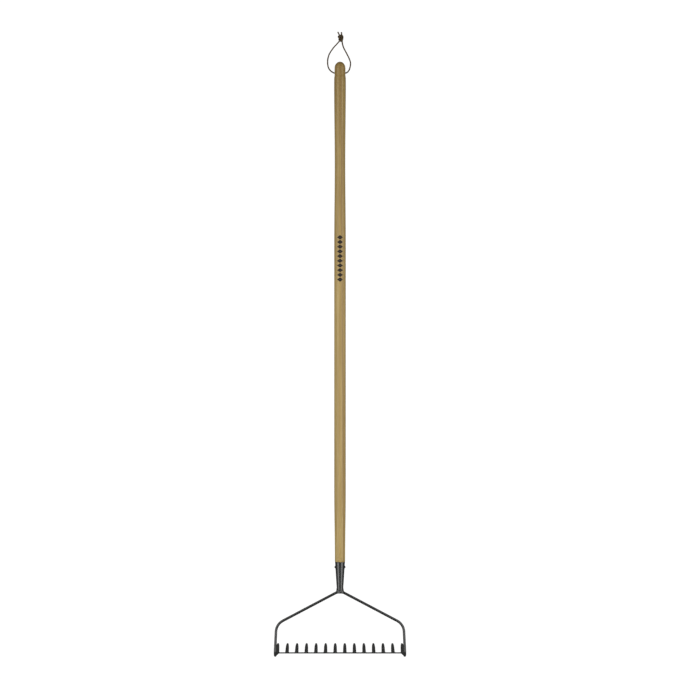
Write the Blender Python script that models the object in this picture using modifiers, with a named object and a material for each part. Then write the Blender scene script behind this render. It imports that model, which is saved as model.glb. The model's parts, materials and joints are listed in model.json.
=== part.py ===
"""A long-handled garden rake: ash handle, rolled steel socket, bent-rod bow, pressed comb and hanging thong.

Metres. The rake is drawn in its own frame, X across the comb, Y up the handle and Z away from the
tines, with Y = 0 at the comb's back edge and Z = 0 on the handle's axis. The empty "rake" then lays it
on the plane z = 0, where it rests on its tine tips and on the end of its handle. The thong is drawn
about the middle of its hole, on the empty "thong_pivot", in upright axes.
"""

import math

import bmesh
import bpy
import numpy as np
from mathutils import Matrix, Vector

GAP = 0.0003  # between touching pieces

# Comb: one pressed plate, a straight strip that turns into the tines
TINES = 14
TINE_PITCH = 0.0254
PLATE = 0.0030
STRIP_TOP = (-0.0029, -0.016)  # Y, Z of the plate's centre line at the strip's back edge
STRIP_DEPTH = 0.013
STRIP_LEAN = math.radians(10.3)  # away from the handle
TINE_LEAN = math.radians(14.5)  # back towards the handle
TINE_DEPTH = 0.057  # below the strip, square to the handle
TINE_BEND = 0.020  # centre-line radius where strip turns into tine
TINE_HALF_WIDTHS = ((0.0, 0.0048), (0.032, 0.0043), (0.045, 0.0036), (0.0525, 0.0026))  # below the strip
TIP_RADIUS = 0.0018
ROOT_FILLET = 0.003
SHEET_SPARE = 0.004  # the sheet before trimming, beyond the tips
TRIM_TOP = -0.008  # Z of the trimming outline above the strip

# Bow: one round rod, bent
ROD = 0.0035  # radius
ROD_END = 0.0019  # radius at its drawn-down ends
ARM_TOP = 0.1632  # Y where the two arms' centre lines meet
ARM_SLOPE = math.radians(27.8)
LEG_TOP_X = 0.1668
LEG_FOOT_X = 0.1706
APEX_BEND = 0.0276
SHOULDER_BEND = 0.034
FOOT_BEND = 0.014
LAP_BEND = 0.020
LAP_DEPTHS = (0.029, 0.043)  # how far below the handle's axis the rod's lapped end turns and stops
LAP_X = (0.1690, 0.1646)
LAP_RADII = (0.75 * ROD, ROD_END)
LAP_CLEARANCE = (0.0004, 0.0006)  # room for the rod's slope against the comb, over the gap

# Socket: rolled tube, outer radius by Y from rim to foot
SOCKET_OUTER = ((0.2390, 0.0131), (0.2170, 0.0117), (0.1910, 0.0101), (0.1780, 0.0092), (0.1635, 0.0082))
SOCKET_WALL = 0.0018
SEAM = 0.0012
SEAM_CUT = (SEAM, 0.12, 0.02)  # the slit's cutter, longer and deeper than the wall

# Handle: outer radius by Y; it swells and narrows smoothly between these
HANDLE_SHAPE = ((0.2393, 0.0135), (0.430, 0.01515), (1.069, 0.01515), (1.278, 0.01375), (1.495, 0.01535))
NECK_Y = 1.513
NECK = 0.0142  # radius of the plain end above the shoulder
SHOULDER = ((0.0005, -0.0025), (0.0009, -0.0070))  # radius and Y of the shoulder's points, from the neck's
HANDLE_TOP = 1.5487
DOME_HEIGHT = 0.017
TANG_FOOT = 0.180  # Y of the tapered tang's end inside the socket
TANG_FIT = 0.0004  # radial gap round the tang

# Rivet through socket and tang
RIVET_Y = 0.225
RIVET = 0.0025
RIVET_HEAD = 0.0032
RIVET_HEAD_HEIGHT = 0.0019

# Welds
SOCKET_WELD = (0.0090, 0.0108)  # radius of the flare round the socket's foot, at its top and on the rod
SOCKET_WELD_Y = (0.1690, 0.1572)
SOCKET_WELD_THIN = 0.77  # its depth along Z against its width
SOCKET_WELD_ROUND = 0.0018
LAP_WELD = 0.0026  # radius of the bead along each lap
LAP_WELD_DEPTHS = (0.019, 0.040)
LAP_WELD_IN = 0.0032  # from the rod's centre line towards the comb's middle
LAP_WELD_OUT = 0.0012  # from the comb's outer face
LAP_WELD_SWELL = (0.75, 0.95, 1.0, 1.0, 1.0, 0.95, 0.75)

# Thong: round leather lace through a cross hole, its two ends knotted together
THONG = 0.0018  # radius
THONG_STEP = 0.0062
HOLE_Y = 1.5186
HOLE = 0.0028
LEFT_STRAND = (  # from the hole's middle to the knot, about the hole's middle
    (0.0, 0.0, 0.0),
    (-0.0080, 0.0, 0.0),
    (-0.0158, 0.0008, -0.0002),
    (-0.0222, 0.0044, -0.0010),
    (-0.0271, 0.0092, -0.0026),
    (-0.0303, 0.0150, -0.0048),
    (-0.0321, 0.0225, -0.0077),
    (-0.0325, 0.0300, -0.0102),
    (-0.0317, 0.0397, -0.0121),
    (-0.0275, 0.0523, -0.0127),
    (-0.0174, 0.0674, -0.0127),
    (-0.0076, 0.0781, -0.0124),
    (0.0013, 0.0880, -0.0106),
)
RIGHT_STRAND = (
    (0.0, 0.0, 0.0),
    (0.0080, 0.0, 0.0),
    (0.0158, 0.0008, -0.0002),
    (0.0209, 0.0041, -0.0010),
    (0.0241, 0.0090, -0.0026),
    (0.0261, 0.0150, -0.0050),
    (0.0275, 0.0225, -0.0078),
    (0.0270, 0.0310, -0.0105),
    (0.0234, 0.0411, -0.0123),
    (0.0164, 0.0548, -0.0127),
    (0.0098, 0.0673, -0.0127),
    (0.0064, 0.0780, -0.0124),
    (0.0056, 0.0862, -0.0108),
)
KNOT_CENTRE = (0.0032, 0.0945, -0.0097)
KNOT_HALF_SIZE = (0.0055, 0.0088, 0.0048)
KNOT_SLANT = math.radians(27)
TAIL_FOOTS = ((-0.0020, 0.1026, -0.0099), (0.0014, 0.1038, -0.0097))
TAIL_ENDS = ((-0.0056, 0.1088, -0.0127), (0.0036, 0.1088, -0.0127))


def clear_scene():
    for obj in list(bpy.data.objects):
        bpy.data.objects.remove(obj)


def collection(name):
    made = bpy.data.collections.new(name)
    bpy.context.scene.collection.children.link(made)
    return made


def material(name, color, roughness, metallic=0.0):
    made = bpy.data.materials.new(name)
    made.use_nodes = True
    shader = made.node_tree.nodes["Principled BSDF"]
    shader.inputs["Base Color"].default_value = (*color, 1.0)
    shader.inputs["Roughness"].default_value = roughness
    shader.inputs["Metallic"].default_value = metallic
    return made


def add(name, data, where, finish=None, parent=None):
    obj = bpy.data.objects.new(name, data)
    where.objects.link(obj)
    obj.parent = parent
    if finish:
        data.materials.append(finish)
    return obj


def as_cutter(obj):
    obj.hide_render = True
    obj.display_type = "WIRE"
    return obj


def smoothed(mesh):
    mesh.shade_smooth()
    mesh.set_sharp_from_angle(angle=math.radians(40))
    return mesh


def as_mesh(obj):
    """The curve object remade as a mesh object with its caps welded on."""
    bpy.context.view_layer.update()
    evaluated = obj.evaluated_get(bpy.context.evaluated_depsgraph_get())
    mesh = bpy.data.meshes.new_from_object(evaluated)
    edit = bmesh.new()
    edit.from_mesh(mesh)
    bmesh.ops.remove_doubles(edit, verts=edit.verts, dist=1e-6)
    bmesh.ops.recalc_face_normals(edit, faces=edit.faces)
    edit.to_mesh(mesh)
    edit.free()
    name, owner, parent = obj.name, obj.users_collection[0], obj.parent
    matrix = obj.matrix_basis.copy()
    bpy.data.objects.remove(obj)
    made = add(name, smoothed(mesh), owner, parent=parent)
    made.matrix_basis = matrix
    return made


def boolean(obj, other, operation="DIFFERENCE"):
    modifier = obj.modifiers.new(other.name, "BOOLEAN")
    modifier.operation = operation
    modifier.object = other
    modifier.solver = "EXACT"


def turned(name, profile, steps, where, finish=None, parent=None, closed=False):
    """A profile of (radius, height) points, running down its outer side, spun about Z."""
    mesh = bpy.data.meshes.new(name)
    edges = [(i, i + 1) for i in range(len(profile) - 1)]
    if closed:
        edges.append((len(profile) - 1, 0))
    mesh.from_pydata([(r, 0, h) for r, h in profile], edges, [])
    obj = add(name, mesh, where, finish, parent)
    screw = obj.modifiers.new("spin", "SCREW")
    screw.steps = screw.render_steps = steps
    screw.use_merge_vertices = True
    screw.merge_threshold = 1e-6
    screw.use_smooth_shade = True
    return obj


def tube(name, points, radius, sides, where, finish=None, parent=None, radii=None):
    """A round bar of radius along points; radii are factors of it, one for each point."""
    curve = bpy.data.curves.new(name, "CURVE")
    curve.dimensions = "3D"
    curve.bevel_depth = radius
    curve.bevel_resolution = sides
    curve.use_fill_caps = True
    spline = curve.splines.new("POLY")
    spline.points.add(len(points) - 1)
    for i, point in enumerate(points):
        spline.points[i].co = (*point, 1.0)
        spline.points[i].radius = radii[i] if radii else 1.0
    return add(name, curve, where, finish, parent)


def plate(name, outline, half_depth, where, parent):
    """A flat closed outline, filled, half_depth thick to each side."""
    curve = bpy.data.curves.new(name, "CURVE")
    curve.dimensions = "2D"
    curve.fill_mode = "BOTH"
    curve.extrude = half_depth
    spline = curve.splines.new("POLY")
    spline.points.add(len(outline) - 1)
    for i, (x, y) in enumerate(outline):
        spline.points[i].co = (x, y, 0, 1)
    spline.use_cyclic_u = True
    return add(name, curve, where, parent=parent)


def filleted(corners, bends, pieces=8):
    """The polyline through corners with each inner corner rounded to the bend radius given for it."""
    points = [Vector(corners[0])]
    for i in range(1, len(corners) - 1):
        here = Vector(corners[i])
        back = (Vector(corners[i - 1]) - here).normalized()
        on = (Vector(corners[i + 1]) - here).normalized()
        half = back.angle(on) / 2
        reach = bends[i - 1] / math.tan(half)
        centre = here + (back + on).normalized() * bends[i - 1] / math.sin(half)
        start = (here + back * reach - centre).normalized()
        end = (here + on * reach - centre).normalized()
        points += [centre + start.slerp(end, k / pieces) * bends[i - 1] for k in range(pieces + 1)]
    return points + [Vector(corners[-1])]


def swept(points, spacing):
    """Points of a smooth curve through the given ones, about the given spacing apart."""
    route = [Vector(p) for p in points]
    route = [2 * route[0] - route[1], *route, 2 * route[-1] - route[-2]]
    found = []
    for a, b, c, d in zip(route, route[1:], route[2:], route[3:]):
        pieces = max(1, round((c - b).length / spacing))
        for k in range(pieces):
            t = k / pieces
            square, cube = 2 * a - 5 * b + 4 * c - d, 3 * b - a - 3 * c + d
            found.append(0.5 * (2 * b + (c - a) * t + square * t**2 + cube * t**3))
    return found + [route[-2]]


def plate_line():
    """(Y, Z) points of the comb plate's centre line, from the strip's back edge to beyond the tips."""
    top = Vector((*STRIP_TOP, 0))
    turn = top + Vector((-math.tan(STRIP_LEAN), -1, 0)) * STRIP_DEPTH
    end = turn + Vector((math.tan(TINE_LEAN), -1, 0)) * (TINE_DEPTH + SHEET_SPARE)
    return [(p.x, p.y) for p in filleted([top, turn, end], [TINE_BEND], 5)]


def sheet_outline(half):
    """The bent plate's cross-section, half to each side of its centre line."""
    line = np.array(plate_line())
    along = np.gradient(line, axis=0)
    along /= np.linalg.norm(along, axis=1)[:, None]
    across = np.column_stack([-along[:, 1], along[:, 0]]) * half
    return [tuple(p) for p in np.concatenate([line + across, (line - across)[::-1]])]


def tine_side(centre, side):
    """Outline points down one side of a tine to its tip, as (X, Z); side is -1 or 1."""
    root = STRIP_TOP[1] - STRIP_DEPTH
    return [(centre + side * half, root - depth) for depth, half in TINE_HALF_WIDTHS]


def comb_outline():
    """The comb seen square to its strip: (X, Z) points round all the tines."""
    root = STRIP_TOP[1] - STRIP_DEPTH
    first = -TINE_PITCH * (TINES - 1) / 2
    end = -first + TINE_HALF_WIDTHS[0][1]
    points = [(end, TRIM_TOP), (-end, TRIM_TOP)]
    for i in range(TINES):
        centre = first + i * TINE_PITCH
        left = tine_side(centre, -1)
        right = tine_side(centre, 1)[::-1]
        if i > 0:
            left[0] = (left[0][0], root - ROOT_FILLET)
            points += fillet_corner(centre - TINE_HALF_WIDTHS[0][1], root, -1)
        points += left
        points += tip_arc(centre, root - TINE_DEPTH)
        if i < TINES - 1:
            right[-1] = (right[-1][0], root - ROOT_FILLET)
            points += right
            points += fillet_corner(centre + TINE_HALF_WIDTHS[0][1], root, 1)[::-1]
        else:
            points += right
    return points


def fillet_corner(x, root, side):
    """The quarter round between the strip's edge and a tine's side, starting on the strip."""
    return [
        (
            x + side * ROOT_FILLET * (1 - math.sin(math.pi / 2 * k / 3)),
            root - ROOT_FILLET * (1 - math.cos(math.pi / 2 * k / 3)),
        )
        for k in range(3)
    ]


def tip_arc(centre, bottom):
    """The rounded end of a tine, from its left side to its right."""
    turns = [math.pi * (1 + k / 6) for k in range(7)]
    return [(centre + TIP_RADIUS * math.cos(a), bottom + TIP_RADIUS * (1 + math.sin(a))) for a in turns]


def comb(parts, cutters, rake, finish):
    """The bent sheet, as wide as the comb, trimmed to the tines' outline."""
    sheet = plate("comb", sheet_outline(PLATE / 2), TINE_PITCH * TINES / 2, parts, rake)
    sheet.rotation_euler = (math.pi / 2, 0, math.pi / 2)
    sheet = as_mesh(sheet)
    sheet.data.materials.append(finish)
    trim = plate("comb_trim", comb_outline(), 0.03, cutters, rake)
    trim.rotation_euler = (math.pi / 2, 0, 0)
    boolean(sheet, as_cutter(as_mesh(trim)), "INTERSECT")
    return sheet


def plate_under(depth):
    """Y of the comb plate's outer face at a depth below the handle's axis."""
    line = sorted((z, y) for y, z in plate_line())
    zs, ys = zip(*line)
    return float(np.interp(-depth, zs, ys)) - PLATE / 2 / math.cos(STRIP_LEAN)


def bow_path():
    """The rod's centre line from its right end over the apex to its left end, and its radius factors."""
    shoulder_y = ARM_TOP - LEG_TOP_X * math.tan(ARM_SLOPE)
    top_y = plate_under(-STRIP_TOP[1]) - GAP - ROD
    turn_y, end_y = (
        plate_under(depth) - GAP - radius - room
        for depth, radius, room in zip(LAP_DEPTHS, LAP_RADII, LAP_CLEARANCE)
    )
    half = [
        (0, ARM_TOP, 0),
        (LEG_TOP_X, shoulder_y, 0),
        (LEG_FOOT_X, top_y, 0),
        (LAP_X[0], turn_y, -LAP_DEPTHS[0]),
        (LAP_X[1], end_y, -LAP_DEPTHS[1]),
    ]
    corners = [*reversed(half), *[(-x, y, z) for x, y, z in half[1:]]]
    bends = [LAP_BEND, FOOT_BEND, SHOULDER_BEND]
    points = filleted(corners, [*bends, APEX_BEND, *reversed(bends)], 7)
    taper = (-STRIP_TOP[1] + 0.001, LAP_DEPTHS[1])
    radii = [float(np.interp(-p.z, taper, (1.0, ROD_END / ROD))) for p in points]
    return points, radii


def bow(parts, rake, finish):
    points, radii = bow_path()
    rod = as_mesh(tube("bow", points, ROD, 3, parts, parent=rake, radii=radii))
    rod.data.materials.append(finish)
    return rod


def socket_radius(y):
    heights, radii = zip(*reversed(SOCKET_OUTER))
    return float(np.interp(y, heights, radii))


def socket(parts, cutters, rake, finish):
    """The rolled tube, open along its seam on the tine side, with the rivet's cross hole."""
    outer = [(r, y) for y, r in SOCKET_OUTER]
    inner = [(r - SOCKET_WALL, y) for y, r in reversed(SOCKET_OUTER)]
    tube_wall = turned("socket", outer + inner, 32, parts, finish, rake, closed=True)
    tube_wall.rotation_euler = (-math.pi / 2, 0, 0)
    seam = bpy.data.meshes.new("socket_seam")
    edit = bmesh.new()
    bmesh.ops.create_cube(edit, size=1.0, matrix=Matrix.Diagonal((*SEAM_CUT, 1)))
    edit.to_mesh(seam)
    edit.free()
    slit = as_cutter(add("socket_seam", seam, cutters, parent=rake))
    slit.location = (0, (SOCKET_OUTER[0][0] + SOCKET_OUTER[-1][0]) / 2, -SEAM_CUT[2] / 2)
    boolean(tube_wall, slit)
    boolean(tube_wall, cross_pin("socket_rivet_hole", RIVET + GAP, RIVET_Y, cutters, rake))
    return tube_wall


def cross_pin(name, radius, y, cutters, rake):
    """A cylinder across the rake at height y, for cutting a hole."""
    mesh = bpy.data.meshes.new(name)
    edit = bmesh.new()
    bmesh.ops.create_cone(edit, cap_ends=True, segments=20, radius1=radius, radius2=radius, depth=0.05)
    edit.to_mesh(mesh)
    edit.free()
    pin = as_cutter(add(name, mesh, cutters, parent=rake))
    pin.location = (0, y, 0)
    pin.rotation_euler = (0, math.pi / 2, 0)
    return pin


def handle_profile():
    """(radius, Y) points from the domed top down the outside to the tang's end."""
    dome = [
        (NECK * math.sin(math.pi / 2 * k / 6), HANDLE_TOP - DOME_HEIGHT * (1 - math.cos(math.pi / 2 * k / 6)))
        for k in range(7)
    ]
    shoulder = [(NECK, NECK_Y), *[(NECK + out, NECK_Y + up) for out, up in SHOULDER]]
    shaft = []
    for (y0, r0), (y1, r1) in zip(HANDLE_SHAPE, HANDLE_SHAPE[1:]):
        pieces = 1 if r0 == r1 else 6
        for k in range(pieces):
            t = k / pieces
            shaft.append((r0 + (r1 - r0) * t * t * (3 - 2 * t), y0 + (y1 - y0) * t))
    shaft.append(HANDLE_SHAPE[-1][::-1])
    rim_y = HANDLE_SHAPE[0][0]
    tang = [
        (socket_radius(y) - SOCKET_WALL - TANG_FIT, y)
        for y in (rim_y, SOCKET_OUTER[1][0], SOCKET_OUTER[2][0], TANG_FOOT)
    ]
    return dome + shoulder + shaft[::-1] + tang + [(0, TANG_FOOT)]


def handle(parts, cutters, rake, finish):
    stick = turned("handle", handle_profile(), 24, parts, finish, rake)
    stick.rotation_euler = (-math.pi / 2, 0, 0)
    boolean(stick, cross_pin("handle_rivet_hole", RIVET + GAP, RIVET_Y, cutters, rake))
    boolean(stick, cross_pin("handle_thong_hole", HOLE, HOLE_Y, cutters, rake))
    return stick


def rivet(parts, rake, finish):
    """A pin across socket and tang with a domed head on each side."""
    seat = socket_radius(RIVET_Y + RIVET_HEAD) + GAP
    dome = [
        (RIVET_HEAD * math.sin(math.pi / 2 * k / 4), seat + RIVET_HEAD_HEIGHT * math.cos(math.pi / 2 * k / 4))
        for k in range(5)
    ]
    upper = dome + [(RIVET, seat)]
    pin = turned("socket_rivet", upper + [(r, -h) for r, h in reversed(upper)], 20, parts, finish, rake)
    pin.location = (0, RIVET_Y, 0)
    pin.rotation_euler = (0, math.pi / 2, 0)
    return pin


def socket_weld(parts, cutters, rake, finish, rod_room):
    """The bead that flares from the socket's foot on to the rod."""
    mesh = bpy.data.meshes.new("socket_weld")
    edit = bmesh.new()
    top, bottom = SOCKET_WELD_Y
    bmesh.ops.create_cone(
        edit, cap_ends=True, segments=24, radius1=SOCKET_WELD[1], radius2=SOCKET_WELD[0], depth=top - bottom
    )
    bmesh.ops.scale(edit, vec=(1, SOCKET_WELD_THIN, 1), verts=edit.verts)
    edit.to_mesh(mesh)
    edit.free()
    bead = add("socket_weld", smoothed(mesh), parts, finish, rake)
    bead.location = (0, (top + bottom) / 2, 0)
    bead.rotation_euler = (-math.pi / 2, 0, 0)
    soften = bead.modifiers.new("soften", "BEVEL")
    soften.width = SOCKET_WELD_ROUND
    soften.segments = 3
    soften.limit_method = "ANGLE"
    foot, foot_radius = SOCKET_OUTER[-1]
    flank = SOCKET_OUTER[-2]
    profile = [(0, flank[0]), (flank[1] + GAP, flank[0]), (foot_radius + GAP, foot - GAP), (0, foot - GAP)]
    plug = as_cutter(turned("socket_room", profile, 32, cutters, parent=rake))
    plug.rotation_euler = (-math.pi / 2, 0, 0)
    boolean(bead, plug)
    boolean(bead, rod_room)
    return bead


def lap_weld(side, parts, rake, finish, rod_room, comb_room):
    """The bead in the corner between the rod's lapped end and the comb's outer face."""
    name = "comb_weld_left" if side < 0 else "comb_weld_right"
    depths = np.linspace(*LAP_WELD_DEPTHS, len(LAP_WELD_SWELL))
    inward = np.interp(depths, LAP_DEPTHS, LAP_X) - LAP_WELD_IN
    path = [(side * x, plate_under(d) - LAP_WELD_OUT, -d) for x, d in zip(inward, depths)]
    bead = as_mesh(tube(name, path, LAP_WELD, 3, parts, parent=rake, radii=LAP_WELD_SWELL))
    bead.data.materials.append(finish)
    boolean(bead, rod_room)
    boolean(bead, comb_room)
    return bead


def rooms(cutters, rake):
    """The rod and the comb's sheet, swollen by the gap: what the weld beads keep clear of."""
    points, radii = bow_path()
    swollen = [(f * ROD + GAP) / (ROD + GAP) for f in radii]
    rod_room = as_cutter(as_mesh(tube("rod_room", points, ROD + GAP, 3, cutters, parent=rake, radii=swollen)))
    comb_room = plate("comb_room", sheet_outline(PLATE / 2 + GAP), TINE_PITCH * TINES / 2, cutters, rake)
    comb_room.rotation_euler = (math.pi / 2, 0, math.pi / 2)
    return rod_room, as_cutter(as_mesh(comb_room))


def thong(parts, pivot, finish):
    """The lace as one loop through the hole, its knot as a plain bean, and its two cut tails."""
    loop = [*reversed(LEFT_STRAND), *RIGHT_STRAND[1:]]
    tube("thong_loop", swept(loop, THONG_STEP), THONG, 2, parts, finish, pivot)
    mesh = bpy.data.meshes.new("thong_knot")
    edit = bmesh.new()
    bmesh.ops.create_uvsphere(edit, u_segments=16, v_segments=10, radius=1.0)
    bmesh.ops.scale(edit, vec=KNOT_HALF_SIZE, verts=edit.verts)
    edit.to_mesh(mesh)
    edit.free()
    knot = add("thong_knot", smoothed(mesh), parts, finish, pivot)
    knot.location = KNOT_CENTRE
    knot.rotation_euler = (0, 0, KNOT_SLANT)
    for name, foot, end in zip(("thong_tail_left", "thong_tail_right"), TAIL_FOOTS, TAIL_ENDS):
        tube(name, [foot, end], THONG, 2, parts, finish, pivot)


def shape_points(obj):
    """World coordinates of the object's final vertices."""
    evaluated = obj.evaluated_get(bpy.context.evaluated_depsgraph_get())
    mesh = evaluated.to_mesh()
    points = np.array([evaluated.matrix_world @ v.co for v in mesh.vertices])
    evaluated.to_mesh_clear()
    return points


def lie_down(rake, front, rear, solids):
    """Tips the rake until front and rear are as low as each other, and puts its box's bottom centre at 0."""
    bpy.context.view_layer.update()
    front_points, rear_points = shape_points(front), shape_points(rear)
    low, high = 0.0, math.radians(10)
    for _ in range(40):
        angle = (low + high) / 2
        down = np.array([0.0, -math.sin(angle), math.cos(angle)])
        if (front_points @ down).min() < (rear_points @ down).min():
            low = angle
        else:
            high = angle
    rake.rotation_euler = (-low, 0, 0)
    bpy.context.view_layer.update()
    points = np.concatenate([shape_points(obj) for obj in solids])
    lowest, highest = points.min(axis=0), points.max(axis=0)
    rake.location = (0, -(lowest[1] + highest[1]) / 2, -lowest[2])


def main():
    clear_scene()
    parts = collection("garden_rake")
    cutters = collection("cutters")
    rake = add("rake", None, parts)
    steel = material("dark_coated_steel", (0.055, 0.056, 0.054), 0.42, 0.6)
    weld_steel = material("weld_steel", (0.06, 0.06, 0.058), 0.5, 0.6)
    rivet_steel = material("rivet_steel", (0.05, 0.05, 0.05), 0.4, 0.6)
    ash = material("lacquered_ash", (0.42, 0.30, 0.13), 0.4)
    leather = material("brown_leather", (0.06, 0.042, 0.022), 0.6)

    stick = handle(parts, cutters, rake, ash)
    comb_plate = comb(parts, cutters, rake, steel)
    rod_room, comb_room = rooms(cutters, rake)
    solids = [
        stick,
        comb_plate,
        socket(parts, cutters, rake, steel),
        rivet(parts, rake, rivet_steel),
        bow(parts, rake, steel),
        socket_weld(parts, cutters, rake, weld_steel, rod_room),
        lap_weld(-1, parts, rake, weld_steel, rod_room, comb_room),
        lap_weld(1, parts, rake, weld_steel, rod_room, comb_room),
    ]
    lie_down(rake, comb_plate, stick, solids)
    bpy.context.view_layer.update()
    pivot = add("thong_pivot", None, parts)
    pivot.location = rake.matrix_world @ Vector((0, HOLE_Y, 0))
    thong(parts, pivot, leather)


main()
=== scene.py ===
"""The looks of a garden rake: ash handle, rolled socket, bent-rod bow, pressed comb and knotted thong.

Metres. The rake's pieces are drawn in its own frame: X across the comb, Y up the handle, Z away from the
tines, with Z = 0 on the handle's axis. The thong is drawn about the middle of its hole, in upright axes.
"""

import json
import math

import bmesh
import bpy
import numpy as np
from mathutils import Matrix, Vector


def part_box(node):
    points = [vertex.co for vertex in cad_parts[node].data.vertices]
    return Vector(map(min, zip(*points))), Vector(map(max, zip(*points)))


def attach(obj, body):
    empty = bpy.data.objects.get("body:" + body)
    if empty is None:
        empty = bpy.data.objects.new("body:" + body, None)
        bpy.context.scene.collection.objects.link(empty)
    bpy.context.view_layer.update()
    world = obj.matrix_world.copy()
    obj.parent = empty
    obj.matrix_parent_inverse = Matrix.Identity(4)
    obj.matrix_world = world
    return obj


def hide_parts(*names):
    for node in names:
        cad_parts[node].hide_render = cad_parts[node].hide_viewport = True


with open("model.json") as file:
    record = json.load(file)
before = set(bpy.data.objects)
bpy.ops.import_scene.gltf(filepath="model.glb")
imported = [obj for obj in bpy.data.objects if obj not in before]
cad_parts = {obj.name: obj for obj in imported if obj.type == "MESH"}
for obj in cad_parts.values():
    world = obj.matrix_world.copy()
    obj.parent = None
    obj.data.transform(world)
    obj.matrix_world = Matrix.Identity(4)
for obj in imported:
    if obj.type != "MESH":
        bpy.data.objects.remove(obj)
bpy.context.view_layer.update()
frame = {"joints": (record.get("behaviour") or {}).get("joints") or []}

# Camera: its lens in millimetres and its place in the rake's frame
LENS = 90.95
CAMERA_Y = 0.8198
CAMERA_HEIGHT = 4.5

# Meshes
SHARP_ANGLE = math.radians(50)
MERGE = 1e-6
BEVEL_SEGMENTS = 3
CAP_STEPS = 6
CAP_DEPTH = 0.8  # depth of a tube's rounded end, in radii
CAP_TIP = 0.08  # radius of its flat middle, in radii

# Comb
TINES = 14
TINE_PITCH = 0.0254
PLATE = 0.0030
STRIP_TOP = (-0.0029, -0.016)
STRIP_DEPTH = 0.013
STRIP_LEAN = math.radians(10.3)
TINE_LEAN = math.radians(14.5)
TINE_DEPTH = 0.057
TINE_BEND = 0.020
TINE_HALF_WIDTHS = ((0.0, 0.0048), (0.032, 0.0043), (0.045, 0.0036), (0.0525, 0.0026))
TIP_RADIUS = 0.0018
ROOT_FILLET = 0.003
PLATE_EDGE = 0.00045
TIP_SPARE = 0.004  # the plate's line runs on below the tips by this depth
TINE_LEVELS = [-0.045 - 0.006 * k for k in range(7)]  # depths of extra rings of points down the tines

# Bow
ROD = 0.0035
ROD_END = 0.0019
ARM_TOP = 0.1632
ARM_SLOPE = math.radians(27.8)
LEG_TOP_X = 0.1668
LEG_FOOT_X = 0.1706
APEX_BEND = 0.0276
SHOULDER_BEND = 0.034
FOOT_BEND = 0.014
LAP_BEND = 0.020
LAP_DEPTHS = (0.029, 0.043)
LAP_X = (0.1690, 0.1646)
LAP_RADII = (0.75 * ROD, ROD_END)
LAP_CLEARANCE = (0.0007, 0.0009)
STRIP_ROOM = 0.0003  # between the rod and the strip's back edge
ROD_POINTS = 420
ROD_SIDES = 28

# Socket, rivet and welds
SOCKET_OUTER = ((0.2390, 0.0131), (0.2170, 0.0117), (0.1910, 0.0101), (0.1780, 0.0092), (0.1635, 0.0082))
SOCKET_WALL = 0.0018
SOCKET_EDGE = 0.0004
SOCKET_COLUMNS = 65
SEAM = 0.0012
RIVET_Y = 0.225
RIVET = 0.0025
RIVET_HEAD = 0.0032
RIVET_HEAD_HEIGHT = 0.0019
RIVET_ROOM = 0.0001  # round the pin in its hole
RIVET_SIDES = 40
HEAD_SEAT = 0.0002  # from the socket up to where the head's rim starts
HEAD_RIM = 0.0004
HEAD_SUNK = 0.0006
DENTS = 14
DENT_ABOVE = 0.0006  # from the head's seat up to where dents start
DENT_FROM, DENT_SPAN = 0.93, 0.07  # cosines from a dent's edge to its middle
DENT_DEPTH = 0.00016
DRILL_REACH = 0.025
SOCKET_WELD = (  # (radius, Y) down the bead's outside
    (0.0082, 0.1712),
    (0.0090, 0.1700),
    (0.0092, 0.1680),
    (0.0096, 0.1650),
    (0.0106, 0.1618),
    (0.0108, 0.1586),
    (0.0090, 0.1564),
    (0.0050, 0.1570),
    (0.0000, 0.1574),
)
SOCKET_WELD_THIN = 0.77
LAP_WELD = 0.0026
LAP_WELD_DEPTHS = (0.019, 0.040)
LAP_WELD_INWARD = 0.0032  # from the rod's centre line towards the rake's middle
LAP_WELD_SUNK = 0.0010  # from the comb's outer face into the comb
LAP_WELD_SWELL = ((0, 0.16, 0.84, 1), (0.72, 1.0, 1.0, 0.70))
LAP_WELD_POINTS = 64
LAP_WELD_RIPPLE = 0.0017

# Handle
HANDLE_SHAPE = ((0.2393, 0.0135), (0.430, 0.01515), (1.069, 0.01515), (1.278, 0.01375), (1.495, 0.01535))
NECK_FOOT = 1.506
NECK_Y = 1.513
NECK = 0.0142
SHOULDER = 0.0151
HANDLE_TOP = 1.5487
DOME_HEIGHT = 0.017
TANG_FOOT = 0.180
TANG_FIT = 0.0004
HANDLE_CHAMFER = 0.0006
HANDLE_SIDES = 72
CURVE_STEPS = 24
SHOULDER_STEPS = 10
DOME_STEPS = 28
HOLE_Y = 1.5186
HOLE = 0.0028
HOLE_FLARE = 0.0008
FLARE_REACH = 0.02  # how far out from the axis the flare's tool reaches

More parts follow.
